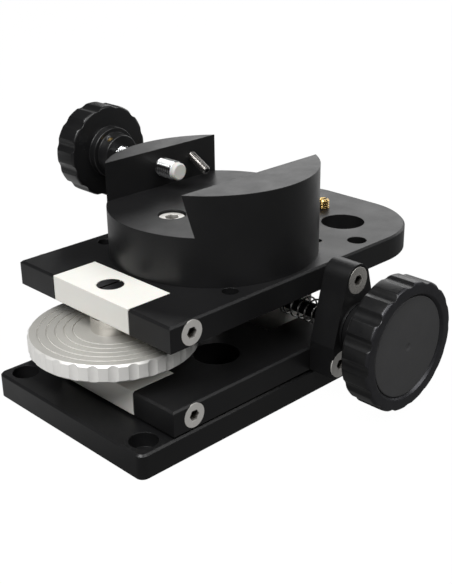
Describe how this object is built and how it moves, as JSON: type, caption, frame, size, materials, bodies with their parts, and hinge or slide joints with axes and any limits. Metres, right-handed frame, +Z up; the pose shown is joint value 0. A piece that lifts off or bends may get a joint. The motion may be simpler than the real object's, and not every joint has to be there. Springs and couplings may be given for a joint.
{
  "type": "altitude azimuth fine adjustment mount",
  "caption": "Compact altitude azimuth fine adjustment mount with a base plate, hand wheel, azimuth knob and a round saddle that clamps a dovetail bar.",
  "frame": {"origin": "centre of the base plate's four bolt holes, on its underside", "axes": "+X from the altitude wheel's end to the hinge and the plate's round end, +Y from the azimuth knob's side to the clamp knob's side, +Z up"},
  "size_m": [0.1754, 0.1607, 0.1018],
  "materials": {
    "anodised_black": "satin black anodised",
    "wheel_silver": "turned, satin clear anodised",
    "white_plastic": "milled acetal",
    "stainless": "bright machined stainless steel",
    "black_steel": "black oxide",
    "chromed_steel": "bright chrome",
    "brass": "bright machined brass",
    "bronze": "sintered bronze",
    "knob_plastic": "satin moulded black",
    "nylon": "natural nylon"
  },
  "bodies": {
    "base": {"base_plate": "anodised_black", "glide_ring": "nylon", "glide_pads": "nylon", "azimuth_pivot_bolt": "stainless", "pivot_spring_washer": "stainless", "block_pivot_screw": "stainless", "block_washer": "nylon"},
    "azimuth_nut": {"azimuth_block": "white_plastic"},
    "azimuth_table": {"azimuth_plate": "anodised_black", "near_cheek": "anodised_black", "far_cheek": "anodised_black", "cheek_screws": "stainless", "hinge_bushes": "bronze", "lower_cross_screws": "stainless", "lower_block": "white_plastic", "azimuth_screw_bush": "bronze", "azimuth_thrust_washer": "knob_plastic", "azimuth_spring": "stainless"},
    "azimuth_drive": {"azimuth_screw": "black_steel", "azimuth_knob": "knob_plastic", "azimuth_knob_cap": "knob_plastic", "azimuth_knob_grub": "stainless"},
    "altitude_drive": {"altitude_spindle": "stainless", "altitude_wheel": "wheel_silver", "upper_collar": "wheel_silver", "lower_collar": "wheel_silver", "spindle_clip": "stainless"},
    "altitude_table": {"altitude_plate": "anodised_black", "hinge_screws": "stainless", "upper_cross_screws": "stainless", "brass_stud": "brass", "saddle": "anodised_black", "saddle_screws": "stainless", "safety_screw": "stainless"},
    "altitude_nut": {"upper_block": "white_plastic"},
    "clamp_pad": {"clamp_tip": "nylon"},
    "clamp_drive": {"clamp_screw": "chromed_steel", "clamp_knob": "knob_plastic", "clamp_knob_cap": "knob_plastic", "clamp_knob_grub": "brass"}
  },
  "joints": [
    {"name": "azimuth_turn", "type": "hinge", "parent": "base", "child": "azimuth_table", "pos_m": [-0.0085, 0, 0.0162], "axis": [0, 0, 1], "range_deg": [-3.5, 3.5], "deforming": ["azimuth_spring"]},
    {"name": "azimuth_nut_turn", "type": "hinge", "parent": "base", "child": "azimuth_nut", "pos_m": [0.041, 0, 0.0162], "axis": [0, 0, 1], "range_deg": [-3.5, 3.5]},
    {"name": "azimuth_knob_spin", "type": "hinge", "parent": "azimuth_table", "child": "azimuth_drive", "pos_m": [0.035, -0.06, 0.0293], "axis": [0, 1, 0], "range_deg": [-1088, 1088]},
    {"name": "altitude_tilt", "type": "hinge", "parent": "azimuth_table", "child": "altitude_table", "pos_m": [0.035, 0, 0.0492], "axis": [0, 1, 0], "range_deg": [-1, 4]},
    {"name": "altitude_wheel_spin", "type": "hinge", "parent": "azimuth_table", "child": "altitude_drive", "pos_m": [-0.041, 0, 0.033], "axis": [0, 0, 1], "range_deg": [-1273, 318]},
    {"name": "altitude_nut_tilt", "type": "hinge", "parent": "altitude_table", "child": "altitude_nut", "pos_m": [-0.041, 0, 0.0492], "axis": [0, 1, 0], "range_deg": [-4, 1]},
    {"name": "clamp_travel", "type": "slide", "parent": "altitude_table", "child": "clamp_pad", "axis": [0, -1, 0], "range_m": [-0.009, 0.012]},
    {"name": "clamp_spin", "type": "hinge", "parent": "clamp_pad", "child": "clamp_drive", "pos_m": [0.0125, 0.06, 0.0818], "axis": [0, -1, 0], "range_deg": [-2590, 3450]}
  ],
  "couplings": [
    {"joint": "azimuth_turn", "follows": "azimuth_knob_spin", "ratio": 0.0032153},
    {"joint": "azimuth_nut_turn", "follows": "azimuth_knob_spin", "ratio": 0.0032153},
    {"joint": "altitude_tilt", "follows": "altitude_wheel_spin", "ratio": -0.0031412},
    {"joint": "altitude_nut_tilt", "follows": "altitude_wheel_spin", "ratio": 0.0031412},
    {"joint": "clamp_travel", "follows": "clamp_spin", "m_per_rad": 0.00019894}
  ]
}
